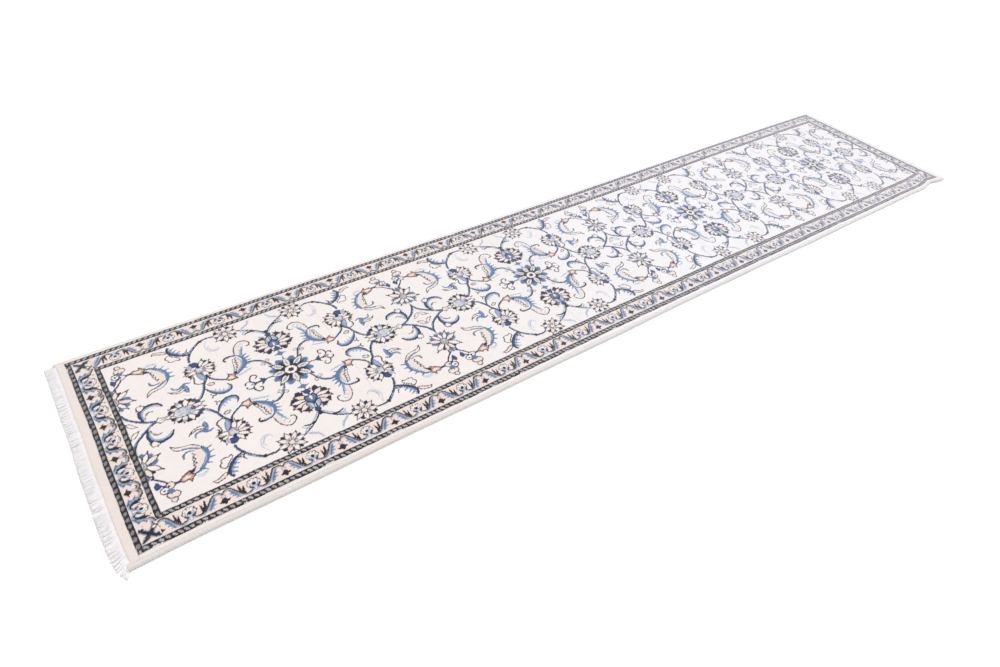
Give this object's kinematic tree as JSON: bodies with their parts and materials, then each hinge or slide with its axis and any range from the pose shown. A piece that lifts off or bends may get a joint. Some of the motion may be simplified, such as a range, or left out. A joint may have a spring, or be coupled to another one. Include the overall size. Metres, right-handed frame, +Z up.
{
  "type": "runner rug",
  "caption": "Long hand-knotted wool runner with a floral field, bordered edges, side cords and fringed ends, folding across its width.",
  "frame": {"origin": "centre of the underside, on the floor", "axes": "+X along the rug towards its far end, +Y towards its left edge, +Z up through the pile"},
  "size_m": [3.866, 0.8, 0.012],
  "materials": {
    "wool_field": "cut wool pile, ivory ground with blue, navy and peach flowers",
    "wool_border": "cut wool pile, peach ground with blue leaves",
    "wool_guard": "cut wool pile, grey blocks between dark brown bars",
    "wool_plain_edge": "cut wool pile, plain ivory",
    "wool_side_cord": "overcast ivory wool cord",
    "cotton_foundation": "plain-woven natural cotton",
    "cotton_end_strip": "flat-woven white cotton",
    "cotton_fringe": "twisted white cotton warp ends"
  },
  "bodies": {
    "near_end": {"near_end_foundation": "cotton_foundation", "near_end_field_pile": "wool_field", "near_end_left_selvedge": "wool_side_cord", "near_end_right_selvedge": "wool_side_cord", "near_end_left_edge_band": "wool_plain_edge", "near_end_left_outer_guard": "wool_guard", "near_end_left_main_border": "wool_border", "near_end_left_inner_guard": "wool_guard", "near_end_right_edge_band": "wool_plain_edge", "near_end_right_outer_guard": "wool_guard", "near_end_right_main_border": "wool_border", "near_end_right_inner_guard": "wool_guard", "near_end_cross_edge_band": "wool_plain_edge", "near_end_cross_outer_guard": "wool_guard", "near_end_cross_main_border": "wool_border", "near_end_cross_inner_guard": "wool_guard", "near_end_kilim_strip": "cotton_end_strip", "near_end_fringe": "cotton_fringe"},
    "near_middle": {"near_middle_foundation": "cotton_foundation", "near_middle_field_pile": "wool_field", "near_middle_left_selvedge": "wool_side_cord", "near_middle_right_selvedge": "wool_side_cord", "near_middle_left_edge_band": "wool_plain_edge", "near_middle_left_outer_guard": "wool_guard", "near_middle_left_main_border": "wool_border", "near_middle_left_inner_guard": "wool_guard", "near_middle_right_edge_band": "wool_plain_edge", "near_middle_right_outer_guard": "wool_guard", "near_middle_right_main_border": "wool_border", "near_middle_right_inner_guard": "wool_guard"},
    "far_middle": {"far_middle_foundation": "cotton_foundation", "far_middle_field_pile": "wool_field", "far_middle_left_selvedge": "wool_side_cord", "far_middle_right_selvedge": "wool_side_cord", "far_middle_left_edge_band": "wool_plain_edge", "far_middle_left_outer_guard": "wool_guard", "far_middle_left_main_border": "wool_border", "far_middle_left_inner_guard": "wool_guard", "far_middle_right_edge_band": "wool_plain_edge", "far_middle_right_outer_guard": "wool_guard", "far_middle_right_main_border": "wool_border", "far_middle_right_inner_guard": "wool_guard"},
    "far_end": {"far_end_foundation": "cotton_foundation", "far_end_field_pile": "wool_field", "far_end_left_selvedge": "wool_side_cord", "far_end_right_selvedge": "wool_side_cord", "far_end_left_edge_band": "wool_plain_edge", "far_end_left_outer_guard": "wool_guard", "far_end_left_main_border": "wool_border", "far_end_left_inner_guard": "wool_guard", "far_end_right_edge_band": "wool_plain_edge", "far_end_right_outer_guard": "wool_guard", "far_end_right_main_border": "wool_border", "far_end_right_inner_guard": "wool_guard", "far_end_cross_edge_band": "wool_plain_edge", "far_end_cross_outer_guard": "wool_guard", "far_end_cross_main_border": "wool_border", "far_end_cross_inner_guard": "wool_guard", "far_end_kilim_strip": "cotton_end_strip", "far_end_fringe": "cotton_fringe"}
  },
  "joints": [
    {"name": "near_end_fold", "type": "hinge", "parent": "near_middle", "child": "near_end", "pos_m": [-0.97, 0, 0.0135], "axis": [0, 1, 0], "range_deg": [0, 179.9]},
    {"name": "centre_fold", "type": "hinge", "parent": "near_middle", "child": "far_middle", "pos_m": [0, 0, 0.0295], "axis": [0, -1, 0], "range_deg": [0, 179.9]},
    {"name": "far_end_fold", "type": "hinge", "parent": "far_middle", "child": "far_end", "pos_m": [0.97, 0, 0.0135], "axis": [0, -1, 0], "range_deg": [0, 179.9]}
  ]
}
